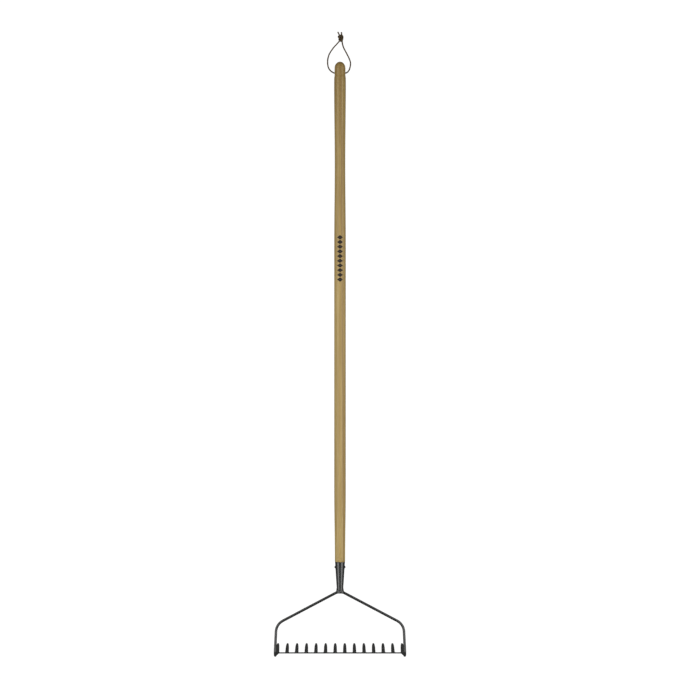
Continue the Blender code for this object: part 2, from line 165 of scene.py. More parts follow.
# Thong
THONG = 0.0018
LEFT_STRAND = (  # from the hole's middle to the knot
    (0.0, 0.0, 0.0),
    (-0.0080, 0.0, 0.0),
    (-0.0158, 0.0008, -0.0002),
    (-0.0222, 0.0044, -0.0010),
    (-0.0271, 0.0092, -0.0026),
    (-0.0303, 0.0150, -0.0048),
    (-0.0321, 0.0225, -0.0077),
    (-0.0325, 0.0300, -0.0102),
    (-0.0317, 0.0397, -0.0121),
    (-0.0275, 0.0523, -0.0127),
    (-0.0174, 0.0674, -0.0127),
    (-0.0076, 0.0781, -0.0124),
    (0.0013, 0.0880, -0.0106),
)
RIGHT_STRAND = (
    (0.0, 0.0, 0.0),
    (0.0080, 0.0, 0.0),
    (0.0158, 0.0008, -0.0002),
    (0.0209, 0.0041, -0.0010),
    (0.0241, 0.0090, -0.0026),
    (0.0261, 0.0150, -0.0050),
    (0.0275, 0.0225, -0.0078),
    (0.0270, 0.0310, -0.0105),
    (0.0234, 0.0411, -0.0123),
    (0.0164, 0.0548, -0.0127),
    (0.0098, 0.0673, -0.0127),
    (0.0064, 0.0780, -0.0124),
    (0.0056, 0.0862, -0.0108),
)
KNOT_CENTRE = (0.0034, 0.0945, -0.0085)
KNOT_SLANT = math.radians(-30)
TAIL_ENDS = ((-0.0056, 0.1088, -0.0127), (0.0036, 0.1088, -0.0127))
KNOT_LOOSE = (0.0030, 0.0014, 0.0026)  # scale of the knot before it is drawn tight
KNOT_TIGHT = 0.45  # share of the loose knot's lace that the tight one keeps
KNOT_REACH = 1.95  # where the loose knot's curve starts and ends
KNOT_SPREAD = 1.15  # how far each strand keeps from the curve they share, in radii
KNOT_POINTS = 90
KNOT_STEPS = 700
KNOT_PASSES = 3
KNOT_PULL = 0.75  # share of the steps over which the lace is drawn in
KNOT_EASE = 4  # each pass takes up one part in this many of the slack
KNOT_STIFFNESS = 0.2
STRAND_ROOM = 0.00005
ROUTE_STEP = 0.001
ROUTE_OVERLAP = 4  # a route's last points that the knot's relaxation takes over
LACE_STEP = 0.0022
LACE_RING_STEP = 0.0008
LACE_SIDES = 20
LACE_END = 0.90
LACE_FLAT, LACE_TWIST = 0.035, 9
LACE_LUMP, LACE_SWELL, LACE_FINE = 0.020, 0.022, 0.012
LACE_WAVES = (700, 430, 2300, 1700)  # radians per metre

# Ash
PITH = (-0.0035, -0.046)  # X and Z of the growth rings' axis
RING_WIDTH = 0.0026
RING_WANDER = 0.0060
EARLY_WOOD = (0.55, 0.425, 0.158)
LATE_WOOD = (0.45, 0.325, 0.108)
WOOD_CLOUD = (0.43, 0.300, 0.115)
WOOD_FIBRE = (0.34, 0.225, 0.080)
WOOD_PORE = (0.20, 0.125, 0.045)
WOOD_STREAK = (0.36, 0.245, 0.085)
WOOD_LINE = (0.27, 0.165, 0.055)
WOOD_EYE = (0.24, 0.155, 0.055)
# The wood's colour is multiplied by this towards the handle's top end, so the wood is darker there.
WOOD_TOP_DARKENING = (0.68, 0.63, 0.56)  # what the wood's colour is multiplied by near its top
BURNT = (0.016, 0.010, 0.006)
TOP_DARKENING_FROM, TOP_DARKENING_TO = 0.95, 1.53
LINE_X, LINE_SLOPE = 0.0105, 0.005
LINE_EDGE, LINE_CORE, LINE_STRENGTH = 0.0024, 0.0010, 0.62
EYE_X, EYE_Y = -0.0010, 1.5335
EYE_HALF_WIDTH, EYE_HALF_LENGTH = 0.0024, 0.0046
MARK_START, MARK_PITCH, MARK_COUNT = 0.9715, 0.01225, 10
MARK_HALF_WIDTH, MARK_HALF_LENGTH = 0.0082, 0.0060

# Steel and leather
STEEL, STEEL_ROUGHNESS = (0.013, 0.014, 0.013), 0.17
RIVET_STEEL, RIVET_ROUGHNESS = (0.022, 0.022, 0.023), 0.24
BEAD, BEAD_ROUGHNESS = (0.019, 0.020, 0.019), 0.30
STEEL_PEEL, BEAD_PEEL = 0.00002, 0.00003
STEEL_WAVE = 0.00006
LEATHER_TONES = (
    (0.30, (0.040, 0.025, 0.010)),
    (0.48, (0.072, 0.046, 0.019)),
    (0.62, (0.080, 0.046, 0.021)),
    (0.80, (0.150, 0.105, 0.048)),
)
LEATHER_STREAK = (0.200, 0.145, 0.070)
LEATHER_FLECK = (0.014, 0.010, 0.006)
LEATHER_GRAIN = 0.00012

# Studio
WHITE = (1, 1, 1, 1)
STAGE_RADIUS = 20
FLOOR_Z = -0.0002
FLOOR_GREY = (0.14, 0.14, 0.14, 1)
FLOOR_GLOW = 0.94
SURROUND = 0.16
SOFTBOX_X, SOFTBOX_Z = 1.75, 1.75
SOFTBOX_SIZE = (3.4, 1.7)
SOFTBOX_POWER = 52


def rake_frame():
    """The rake's own frame: the rivet and the thong's hole are both on its Y axis."""
    hole = Vector(frame["joints"][0]["pos_m"])
    low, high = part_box("socket_rivet")
    along = (hole - (low + high) / 2).normalized()
    across = Vector((1, 0, 0))
    turn = Matrix((across, along, across.cross(along))).transposed().to_4x4()
    return Matrix.Translation(hole) @ turn @ Matrix.Translation((0, -HOLE_Y, 0)), Matrix.Translation(hole)


RAKE, THONG_PIVOT = rake_frame()


def camera():
    """Straight above the rake, square to its handle."""
    data = bpy.data.cameras.new("camera")
    data.sensor_width = 36
    data.lens = LENS
    data.clip_end = 100
    made = bpy.data.objects.new("camera", data)
    bpy.context.scene.collection.objects.link(made)
    made.matrix_world = RAKE @ Matrix.Translation((0, CAMERA_Y, CAMERA_HEIGHT))
    bpy.context.scene.camera = made


def piece(name, mesh, place, body, finish, slot, *nodes):
    """A mesh as a piece of the object that stands for the CAD nodes."""
    obj = bpy.data.objects.new(name, mesh)
    bpy.context.scene.collection.objects.link(obj)
    obj.matrix_world = place
    mesh.materials.append(finish)
    mesh.shade_smooth()
    mesh.set_sharp_from_angle(angle=SHARP_ANGLE)
    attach(obj, body)
    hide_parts(*nodes)
    return obj


# ---------------------------------------------------------------- mesh tools


def mesh_of(name, points, faces):
    """A mesh whose doubled points are merged and whose faces point out."""
    mesh = bpy.data.meshes.new(name)
    mesh.from_pydata([tuple(p) for p in points], [], faces)
    edit = bmesh.new()
    edit.from_mesh(mesh)
    bmesh.ops.remove_doubles(edit, verts=edit.verts, dist=MERGE)
    bmesh.ops.recalc_face_normals(edit, faces=edit.faces)
    edit.to_mesh(mesh)
    edit.free()
    return mesh


def grid_faces(rows, columns, around):
    """Quads over a grid of points, closed round its columns if around."""
    last = columns if around else columns - 1
    faces = []
    for low in range(0, (rows - 1) * columns, columns):
        high = low + columns
        for c in range(last):
            on = (c + 1) % columns
            faces.append((low + c, low + on, high + on, high + c))
    return faces


def swept(points, spacing):
    """Points of a smooth curve through the given ones, about the given spacing apart."""
    route = [np.array(p, float) for p in points]
    route = [2 * route[0] - route[1], *route, 2 * route[-1] - route[-2]]
    found = []
    for a, b, c, d in zip(route, route[1:], route[2:], route[3:]):
        pieces = max(1, round(np.linalg.norm(c - b) / spacing))
        for k in range(pieces):
            t = k / pieces
            square, cube = 2 * a - 5 * b + 4 * c - d, 3 * b - a - 3 * c + d
            found.append(0.5 * (2 * b + (c - a) * t + square * t**2 + cube * t**3))
    return np.array(found + [route[-2]])


def spaced(points, count):
    """The polyline remade with count points evenly along it."""
    steps = np.linalg.norm(np.diff(points, axis=0), axis=1)
    at = np.concatenate([[0], np.cumsum(steps)])
    return np.column_stack([np.interp(np.linspace(0, at[-1], count), at, points[:, k]) for k in range(3)])


def length_of(points):
    return float(np.linalg.norm(np.diff(points, axis=0), axis=1).sum())


def tube(name, points, radii, sides, bump=None):
    """A closed tube along points; bump(along, angles) gives factors of its radius."""
    points, radii = np.array(points, float), np.broadcast_to(radii, len(points))
    along = np.gradient(points, axis=0)
    along /= np.linalg.norm(along, axis=1)[:, None]
    up = np.cross(along[0], (0.3, 0.2, 0.9))
    angles = np.linspace(0, 2 * math.pi, sides, endpoint=False)
    distance = np.concatenate([[0], np.cumsum(np.linalg.norm(np.diff(points, axis=0), axis=1))])
    rings = []
    for point, heading, radius, far in zip(points, along, radii, distance):
        up = up - heading * up.dot(heading)
        up /= np.linalg.norm(up)
        side = np.cross(heading, up)
        factor = bump(far, angles) if bump else np.ones(sides)
        circle = np.outer(np.cos(angles), up) + np.outer(np.sin(angles), side)
        rings.append(point + radius * factor[:, None] * circle)
    count = len(points)
    faces = grid_faces(count, sides, True)
    first, last = count * sides, count * sides + 1
    faces += [(first, (c + 1) % sides, c) for c in range(sides)]
    faces += [(last, (count - 1) * sides + c, (count - 1) * sides + (c + 1) % sides) for c in range(sides)]
    return mesh_of(name, np.concatenate([*rings, points[:1], points[-1:]]), faces)


def rounded_ends(points, radii):
    """The points and radii with both ends drawn in to a blunt round."""
    points, radii = np.array(points, float), np.array(np.broadcast_to(radii, len(points)), float)
    for _ in range(2):
        points, radii = points[::-1], radii[::-1]
        heading = (points[1] - points[0]) / np.linalg.norm(points[1] - points[0])
        depth = radii[0] * CAP_DEPTH
        turns = [math.pi / 2 * k / CAP_STEPS for k in range(CAP_STEPS - 1, 0, -1)]
        cap = [points[0]] + [points[0] + heading * depth * (1 - math.sin(a)) for a in turns]
        sizes = [radii[0] * CAP_TIP] + [radii[0] * math.cos(a) for a in turns]
        keep = np.linalg.norm(points - points[0], axis=1) > depth
        points = np.concatenate([cap, [points[0] + heading * depth], points[keep]])
        radii = np.concatenate([sizes, [radii[0]], radii[keep]])
    return points, radii


def lathe(name, profile, sides):
    """A closed profile of (radius, Y) points turned about Y."""
    angles = np.linspace(0, 2 * math.pi, sides, endpoint=False)
    points = [(r * math.cos(a), y, r * math.sin(a)) for r, y in profile for a in angles]
    return mesh_of(name, points, grid_faces(len(profile), sides, True))


def arc(centre, radii, start, end, pieces):
    """(radius, Y) points round an ellipse's arc, angles in degrees from the radius direction."""
    turns = [math.radians(start + (end - start) * k / pieces) for k in range(pieces + 1)]
    return [(centre[0] + radii[0] * math.cos(a), centre[1] + radii[1] * math.sin(a)) for a in turns]


def cutter(mesh, place):
    """A hidden object for cut(), which removes it."""
    obj = bpy.data.objects.new(mesh.name, mesh)
    bpy.context.scene.collection.objects.link(obj)
    obj.matrix_world = place
    obj.hide_render = True
    return obj


def cut(obj, *cutters):
    """Cuts the cutters from the object, for good, and removes them."""
    for other in cutters:
        modifier = obj.modifiers.new(other.name, "BOOLEAN")
        modifier.object = other
        modifier.solver = "EXACT"
    settle(obj)
    for other in cutters:
        bpy.data.objects.remove(other)


def settle(obj):
    """Replaces the object's mesh with its modified one."""
    bpy.context.view_layer.update()
    evaluated = obj.evaluated_get(bpy.context.evaluated_depsgraph_get())
    made = bpy.data.meshes.new_from_object(evaluated)
    made.name = obj.data.name
    obj.modifiers.clear()
    obj.data = made
    made.shade_smooth()
    made.set_sharp_from_angle(angle=SHARP_ANGLE)


def soften(obj, width):
    """Rounds the object's sharp edges when it is settled."""
    bevel = obj.modifiers.new("soften", "BEVEL")
    bevel.width = width
    bevel.segments = BEVEL_SEGMENTS
    bevel.limit_method = "ANGLE"
    bevel.angle_limit = SHARP_ANGLE


# ---------------------------------------------------------------- materials


class Finish:
    """A node material, built by short calls."""

    def __init__(self, name):
        self.material = bpy.data.materials.new(name)
        self.material.use_nodes = True
        self.tree = self.material.node_tree
        self.shader = self.tree.nodes["Principled BSDF"]

    def node(self, kind, inputs=None, **settings):
        made = self.tree.nodes.new(kind)
        for key, value in settings.items():
            setattr(made, key, value)
        for key, value in (inputs or {}).items():
            self.put(value, made.inputs[key])
        return made

    def put(self, value, socket):
        if isinstance(value, bpy.types.NodeSocket):
            self.tree.links.new(value, socket)
        else:
            socket.default_value = value

    def math(self, operation, a, b=0.0):
        return self.node("ShaderNodeMath", {0: a, 1: b}, operation=operation).outputs[0]

    def rise(self, value, start, end, top=1.0):
        """0 up to start, top from end on; falls instead if end is below start."""
        inputs = {"Value": value, "From Min": start, "From Max": end, "To Max": top}
        return self.node("ShaderNodeMapRange", inputs).outputs[0]

    def where(self, scale=(1, 1, 1)):
        """The piece's own coordinates, scaled."""
        place = self.node("ShaderNodeTexCoord").outputs["Object"]
        return self.node("ShaderNodeMapping", {"Vector": place, "Scale": scale}).outputs[0]

    def noise(self, scale, detail=3.0, roughness=0.55, stretch=(1, 1, 1)):
        inputs = {"Vector": self.where(stretch), "Scale": scale, "Detail": detail, "Roughness": roughness}
        return self.node("ShaderNodeTexNoise", inputs).outputs["Fac"]

    def ramp(self, value, *stops):
        """A colour ramp; stops are (position, grey or colour)."""
        made = self.node("ShaderNodeValToRGB", {"Fac": value})
        band = made.color_ramp
        while len(band.elements) < len(stops):
            band.elements.new(0.5)
        for element, (position, color) in zip(band.elements, stops):
            element.position = position
            element.color = (*(color if isinstance(color, tuple) else (color,) * 3), 1)
        return made.outputs["Color"]

    def blend(self, fac, a, b, how="MIX"):
        made = self.node("ShaderNodeMix", data_type="RGBA", blend_type=how)
        for socket, value in zip((made.inputs[0], made.inputs[6], made.inputs[7]), (fac, a, b)):
            self.put((*value, 1) if isinstance(value, tuple) else value, socket)
        return made.outputs[2]

    def bump(self, height, distance, strength=1.0, under=None):
        inputs = {"Height": height, "Distance": distance, "Strength": strength}
        if under:
            inputs["Normal"] = under
        return self.node("ShaderNodeBump", inputs).outputs[0]

    def finish(self, **sockets):
        for key, value in sockets.items():
            self.put(value, self.shader.inputs[key.replace("_", " ")])
        return self.material


def ash():
    """Lacquered ash: growth rings about an axis off to one side, pores in the early wood, a burnt mark."""
    f = Finish("lacquered_ash")
    split = f.node("ShaderNodeSeparateXYZ", {"Vector": f.where()})
    x, y, z = split.outputs
    wander = f.math("MULTIPLY", f.math("SUBTRACT", f.noise(9, 2, 0.5, (1, 0.16, 1)), 0.5), RING_WANDER)
    across = f.math("POWER", f.math("SUBTRACT", x, PITH[0]), 2)
    down = f.math("POWER", f.math("SUBTRACT", z, PITH[1]), 2)
    radius = f.math("ADD", f.math("SQRT", f.math("ADD", across, down)), wander)
    growth = f.math("MULTIPLY", f.math("SUBTRACT", f.noise(60, 1, 0.4, (1, 0.02, 1)), 0.5), 0.9)
    ring = f.math("FRACT", f.math("ADD", f.math("DIVIDE", radius, RING_WIDTH), growth))
    late = f.ramp(ring, (0.0, 0.0), (0.42, 0.15), (0.78, 0.75), (0.93, 1.0), (1.0, 0.0))
    fibres = f.noise(900, 4, 0.65, (1, 0.012, 1))
    fleck = f.noise(2600, 2, 0.6, (1, 0.02, 1))
    early = f.math("SUBTRACT", 1.0, f.ramp(ring, (0.0, 0.0), (0.18, 0.1), (0.5, 1.0), (1.0, 1.0)))
    pores = f.math("MULTIPLY", f.ramp(fleck, (0.56, 0.0), (0.64, 1.0)), early)
    tone = f.noise(26, 3, 0.6, (1, 0.05, 1))
    color = f.blend(late, EARLY_WOOD, LATE_WOOD)
    color = f.blend(f.ramp(tone, (0.35, 0.0), (0.68, 0.75)), color, WOOD_CLOUD)
    color = f.blend(f.ramp(fibres, (0.30, 0.55), (0.62, 0.0)), color, WOOD_FIBRE)
    color = f.blend(f.math("MULTIPLY", pores, 0.55), color, WOOD_PORE)
    streaks = f.noise(170, 2, 0.5, (1, 0.03, 1))
    color = f.blend(f.ramp(streaks, (0.42, 0.0), (0.56, 0.8)), color, WOOD_STREAK)
    line_x = f.math("SUBTRACT", LINE_X, f.math("MULTIPLY", y, LINE_SLOPE))
    off_line = f.math("ABSOLUTE", f.math("SUBTRACT", x, line_x))
    color = f.blend(f.rise(off_line, LINE_EDGE, LINE_CORE, LINE_STRENGTH), color, WOOD_LINE)
    # darker towards the handle's top end: the wood's colour is multiplied down between these heights
    color = f.blend(f.rise(y, TOP_DARKENING_FROM, TOP_DARKENING_TO), color, WOOD_TOP_DARKENING, "MULTIPLY")
    color = f.blend(grain_eye(f, x, y, z), color, WOOD_EYE)
    burnt = burnt_mark(f, x, y, z)
    color = f.blend(burnt, color, BURNT)
    height = f.math("SUBTRACT", f.math("SUBTRACT", fibres, pores), f.math("MULTIPLY", burnt, 3.0))
    rough = f.math("ADD", f.math("MULTIPLY", fibres, 0.10), f.math("MULTIPLY", burnt, 0.25))
    return f.finish(
        Base_Color=color,
        Roughness=f.math("ADD", rough, 0.36),
        Normal=f.bump(height, 0.00006, 0.8),
        Coat_Weight=0.08,
        Coat_Roughness=0.30,
        Specular_IOR_Level=0.3,
    )


def grain_eye(f, x, y, z):
    """A small dark eye in the grain on the handle's dome."""
    across = f.math("POWER", f.math("DIVIDE", f.math("SUBTRACT", x, EYE_X), EYE_HALF_WIDTH), 2)
    along = f.math("POWER", f.math("DIVIDE", f.math("SUBTRACT", y, EYE_Y), EYE_HALF_LENGTH), 2)
    out = f.math("ADD", across, along)
    eye = f.ramp(out, (0.0, 0.55), (0.30, 0.35), (0.55, 0.08), (0.85, 0.40), (1.0, 0.0))
    return f.math("MULTIPLY", eye, f.math("GREATER_THAN", z, 0.0))


def burnt_mark(f, x, y, z):
    """A plain row of lozenges with pale middles, burnt into the handle's upper side."""
    along = f.math("DIVIDE", f.math("SUBTRACT", y, MARK_START), MARK_PITCH)
    past_start = f.math("GREATER_THAN", along, 0.0)
    inside = f.math("MULTIPLY", past_start, f.math("LESS_THAN", along, float(MARK_COUNT)))
    local = f.math("SUBTRACT", f.math("FRACT", along), 0.5)
    local = f.math("MULTIPLY", local, MARK_PITCH / MARK_HALF_LENGTH)
    sideways = f.math("DIVIDE", f.math("ABSOLUTE", x), MARK_HALF_WIDTH)
    edge = f.math("ADD", f.math("ABSOLUTE", local), sideways)
    fray = f.math("MULTIPLY", f.math("SUBTRACT", f.noise(2500, 3), 0.5), 0.22)
    rough_edge = f.math("ADD", edge, fray)
    shape = f.rise(rough_edge, 1.04, 0.92)
    ring = f.rise(rough_edge, 0.02, 0.10)
    above = f.math("GREATER_THAN", z, 0.0)
    return f.math("MULTIPLY", f.math("MULTIPLY", shape, ring), f.math("MULTIPLY", inside, above))


def coated_steel(name, base, roughness, peel=STEEL_PEEL):
    """Satin powder coat: orange peel, faint cloudiness in its shine and dust in its colour."""
    f = Finish(name)
    cloud = f.noise(55, 4, 0.6)
    dust = f.ramp(f.noise(420, 5, 0.7), (0.52, 0.0), (0.75, 1.0))
    lighter = tuple(c * 1.7 + 0.004 for c in base)
    color = f.blend(f.math("MULTIPLY", cloud, 0.8), tuple(c * 0.82 for c in base), lighter)
    color = f.blend(f.math("MULTIPLY", dust, 0.35), color, tuple(c * 2.2 + 0.008 for c in base))
    rough = f.math("ADD", f.math("MULTIPLY", cloud, 0.10), roughness - 0.05)
    fine = f.bump(f.noise(1500, 2, 0.5), peel, 0.5)
    wide = f.bump(f.noise(160, 2, 0.5), STEEL_WAVE, 0.6, fine)
    return f.finish(Base_Color=color, Roughness=rough, Normal=wide, Specular_IOR_Level=0.70)


def leather():
    """Waxed brown lace: streaks of lighter and redder brown, fine grain, frayed flecks."""
    f = Finish("brown_leather")
    patches = f.noise(130, 3, 0.6)
    streaks = f.noise(1400, 4, 0.7)
    color = f.ramp(patches, *LEATHER_TONES)
    color = f.blend(f.ramp(streaks, (0.52, 0.0), (0.72, 0.7)), color, LEATHER_STREAK)
    color = f.blend(f.ramp(f.noise(3200, 2, 0.6), (0.36, 0.8), (0.48, 0.0)), color, LEATHER_FLECK)
    grain = f.bump(f.noise(2600, 4, 0.7), LEATHER_GRAIN, 0.8)
    return f.finish(
        Base_Color=color,
        Roughness=f.math("ADD", f.math("MULTIPLY", streaks, 0.25), 0.42),
        Normal=grain,
        Specular_IOR_Level=0.22,
        Sheen_Weight=0.05,
        Sheen_Roughness=0.4,
    )


# ---------------------------------------------------------------- the thong


def loose_knot(sign, end, route):
    """One strand's centre line through a loose overhand knot, sign times its own radius to one side."""
    t = np.linspace(-KNOT_REACH, KNOT_REACH, 161)
    core = np.column_stack([3 * t - t**3, t**5 - 10 * t, t**4 - 4 * t**2 + 2]) * KNOT_LOOSE
    heading = np.gradient(core, axis=0)
    side = np.column_stack([heading[:, 1], -heading[:, 0], 0 * t])
    side /= np.linalg.norm(side, axis=1)[:, None]
    c, s = math.cos(KNOT_SLANT), math.sin(KNOT_SLANT)
    turn = np.array([[c, -s, 0], [s, c, 0], [0, 0, 1]])
    knot = (core + sign * side * THONG * KNOT_SPREAD) @ turn.T + KNOT_CENTRE
    return spaced(np.vstack([swept(route, ROUTE_STEP)[-ROUTE_OVERLAP:], knot, end]), KNOT_POINTS)


def drawn_tight(strands):
    """Draws both strands tight between their fixed ends, while each stays clear of itself and the other."""
    count = strands.shape[1]
    free = np.ones((2, count, 1))
    free[:, :3] = free[:, -1:] = 0
    first = np.linalg.norm(np.diff(strands, axis=1), axis=2).mean(1)
    one, other = np.triu_indices(2 * count, 1)
    same = (one // count) == (other // count)
    floor = -THONG_PIVOT.translation.z + THONG + STRAND_ROOM
    for step in range(KNOT_STEPS):
        share = min(1, step / (KNOT_PULL * KNOT_STEPS))
        wanted = (first * (1 + (KNOT_TIGHT - 1) * share))[:, None, None]
        for _ in range(KNOT_PASSES):
            steps = np.diff(strands, axis=1)
            shift = steps * (1 - wanted / np.linalg.norm(steps, axis=2, keepdims=True)) / KNOT_EASE
            move = np.zeros_like(strands)
            move[:, :-1] += shift
            move[:, 1:] -= shift
            strands = strands + move * free
        middle = (strands[:, :-2] + strands[:, 2:]) / 2
        strands[:, 1:-1] += (middle - strands[:, 1:-1]) * KNOT_STIFFNESS * free[:, 1:-1]
        near = int(math.pi * THONG / wanted.mean()) + 1
        tested = ~(same & (other - one <= near))
        for _ in range(KNOT_PASSES):
            strands = pushed_apart(strands, one[tested], other[tested], free)
        strands[..., 2] = np.maximum(strands[..., 2], floor)
    return strands


def pushed_apart(strands, one, other, free):
    """Moves points that are nearer each other than the lace is thick."""
    flat = strands.reshape(-1, 3)
    between = flat[other] - flat[one]
    distance = np.linalg.norm(between, axis=1)
    hit = distance < 2 * THONG
    one, other, between, distance = one[hit], other[hit], between[hit], distance[hit]
    push = between * ((2 * THONG - distance) / 2 / distance)[:, None]
    move, hits = np.zeros_like(flat), np.zeros(len(flat))
    for index, sign in ((one, -1), (other, 1)):
        np.add.at(move, index, sign * push)
        np.add.at(hits, index, 1)
    move /= np.maximum(1, hits / 2)[:, None]
    return strands + move.reshape(strands.shape) * free


def strand_mesh(name, points, seed):
    """The lace's tube: not quite round, with a cut end."""
    rng = np.random.default_rng(seed)
    phase = rng.uniform(0, 2 * math.pi, 6)

    def bump(far, angles):
        waves = [wave * far for wave in LACE_WAVES]
        flat = LACE_FLAT * np.cos(2 * (angles - LACE_TWIST * far * math.pi + phase[0]))
        lumps = LACE_LUMP * np.sin(3 * angles + waves[0] + phase[1])
        lumps = lumps + LACE_SWELL * math.sin(waves[1] + phase[2])
        fine = LACE_FINE * np.sin(7 * angles + waves[2] + phase[3]) * math.sin(waves[3] + phase[4])
        return 0.975 + flat + lumps + fine

    radii = np.full(len(points), THONG)
    radii[-1] *= LACE_END
    return tube(name, points, radii, LACE_SIDES, bump)


def thong(finish):
    """The lace as two halves, each from the hole's middle through the knot to its own cut tail."""
    routes = [np.array(LEFT_STRAND), np.array(RIGHT_STRAND)]
    loose = [loose_knot(sign, end, route) for sign, end, route in zip((-1, 1), TAIL_ENDS, routes)]
    knot = drawn_tight(np.array(loose))
    names = ("thong_left", "thong_right")
    nodes = (("thong_loop", "thong_tail_left"), ("thong_knot", "thong_tail_right"))
    for k, (name, route, core) in enumerate(zip(names, routes, knot)):
        line = np.vstack([swept(route, ROUTE_STEP)[:-ROUTE_OVERLAP], core])
        line = swept(spaced(line, round(length_of(line) / LACE_STEP)), LACE_RING_STEP)
        mesh = strand_mesh(name, line, k)
        obj = piece(name, mesh, THONG_PIVOT, "thong", finish, "leather", *nodes[k])


# ---------------------------------------------------------------- the comb and the bow


def filleted(corners, bends, pieces=8):
    """The polyline through corners with each inner corner rounded to the bend radius given for it."""
    points = [Vector(corners[0])]
    for i in range(1, len(corners) - 1):
        here = Vector(corners[i])
        back = (Vector(corners[i - 1]) - here).normalized()
        on = (Vector(corners[i + 1]) - here).normalized()
        half = back.angle(on) / 2
        reach = bends[i - 1] / math.tan(half)
        centre = here + (back + on).normalized() * bends[i - 1] / math.sin(half)
        start = (here + back * reach - centre).normalized()
        end = (here + on * reach - centre).normalized()
        points += [centre + start.slerp(end, k / pieces) * bends[i - 1] for k in range(pieces + 1)]
    return points + [Vector(corners[-1])]


def plate_line():
    """(Y, Z) points of the comb plate's centre line, from the strip's back edge to beyond the tips."""
    top = Vector((*STRIP_TOP, 0))
    turn = top + Vector((-math.tan(STRIP_LEAN), -1, 0)) * STRIP_DEPTH
    end = turn + Vector((math.tan(TINE_LEAN), -1, 0)) * (TINE_DEPTH + TIP_SPARE)
    return np.array([(p.x, p.y) for p in filleted([top, turn, end], [TINE_BEND], 12)])


def comb_outline():
    """The comb seen square to its strip: (X, Z) points round all the tines."""
    root = STRIP_TOP[1] - STRIP_DEPTH
    first = -TINE_PITCH * (TINES - 1) / 2
    end = -first + TINE_HALF_WIDTHS[0][1]
    points = [(end, STRIP_TOP[1]), (-end, STRIP_TOP[1])]
    for i in range(TINES):
        centre = first + i * TINE_PITCH
        sides = [[(centre + s * half, root - depth) for depth, half in TINE_HALF_WIDTHS] for s in (-1, 1)]
        if i > 0:
            sides[0] = root_fillet(centre - TINE_HALF_WIDTHS[0][1], root, -1) + sides[0][1:]
        if i < TINES - 1:
            sides[1] = root_fillet(centre + TINE_HALF_WIDTHS[0][1], root, 1) + sides[1][1:]
        points += sides[0]
        turns = [math.pi * (1 + k / 10) for k in range(11)]
        bottom = root - TINE_DEPTH + TIP_RADIUS
        points += [(centre + TIP_RADIUS * math.cos(a), bottom + TIP_RADIUS * math.sin(a)) for a in turns]
        points += sides[1][::-1]
    return points


def root_fillet(x, root, side):
    """The quarter round between the strip's edge and a tine's side, from the strip down."""
    turns = [math.pi / 2 * k / 6 for k in range(7)]
    size = ROOT_FILLET
    return [(x + side * size * (1 - math.sin(a)), root - size * (1 - math.cos(a))) for a in turns]


def comb(finish):
    """The outline as a flat sheet, bent to the plate's line, given its thickness and softened edges."""
    edit = bmesh.new()
    corners = [edit.verts.new((x, 0, z)) for x, z in comb_outline()]
    edit.faces.new(corners)
    edit.normal_update()
    bmesh.ops.triangulate(edit, faces=edit.faces[:])
    line = plate_line()
    for level in [float(z) for z in line[1:-1, 1]] + TINE_LEVELS:
        geometry = edit.verts[:] + edit.edges[:] + edit.faces[:]
        bmesh.ops.bisect_plane(edit, geom=geometry, plane_co=(0, 0, level), plane_no=(0, 0, 1), dist=MERGE)
    for vert in edit.verts:
        vert.co.y = float(np.interp(-vert.co.z, -line[:, 1], line[:, 0]))
    bmesh.ops.recalc_face_normals(edit, faces=edit.faces)
    mesh = bpy.data.meshes.new("comb_plate")
    edit.to_mesh(mesh)
    edit.free()
    obj = piece("comb_plate", mesh, RAKE, "rake", finish, "coated_steel", "comb")
    thick = obj.modifiers.new("thickness", "SOLIDIFY")
    thick.thickness = PLATE
    thick.offset = 0
    soften(obj, PLATE_EDGE)
    settle(obj)


def plate_under(depth):
    """Y of the comb plate's outer face at a depth below the handle's axis."""
    line = plate_line()
    return float(np.interp(depth, -line[:, 1], line[:, 0])) - PLATE / 2 / math.cos(STRIP_LEAN)


def bow_path():
    """The rod's centre line from its right end over the apex to its left end, and its radii."""
    shoulder_y = ARM_TOP - LEG_TOP_X * math.tan(ARM_SLOPE)
    top_y = plate_under(-STRIP_TOP[1]) - ROD - STRIP_ROOM
    laps = zip(LAP_DEPTHS, LAP_RADII, LAP_CLEARANCE)
    turn_y, end_y = (plate_under(depth) - radius - room for depth, radius, room in laps)
    half = [
        (0, ARM_TOP, 0),
        (LEG_TOP_X, shoulder_y, 0),
        (LEG_FOOT_X, top_y, 0),
        (LAP_X[0], turn_y, -LAP_DEPTHS[0]),
        (LAP_X[1], end_y, -LAP_DEPTHS[1]),
    ]
    corners = [*reversed(half), *[(-x, y, z) for x, y, z in half[1:]]]
    bends = [LAP_BEND, FOOT_BEND, SHOULDER_BEND]
    points = filleted(corners, [*bends, APEX_BEND, *reversed(bends)], 24)
    points = spaced(np.array(points), ROD_POINTS)
    taper = (-STRIP_TOP[1] + 0.001, LAP_DEPTHS[1])
    return points, np.interp(-points[:, 2], taper, (ROD, ROD_END))


def bow(finish):
    mesh = tube("bow_rod", *rounded_ends(*bow_path()), ROD_SIDES)
    piece("bow_rod", mesh, RAKE, "rake", finish, "coated_steel", "bow")


# ---------------------------------------------------------------- the socket and the welds


def socket_radius(y):
    heights, radii = zip(*reversed(SOCKET_OUTER))
    return float(np.interp(y, heights, radii))


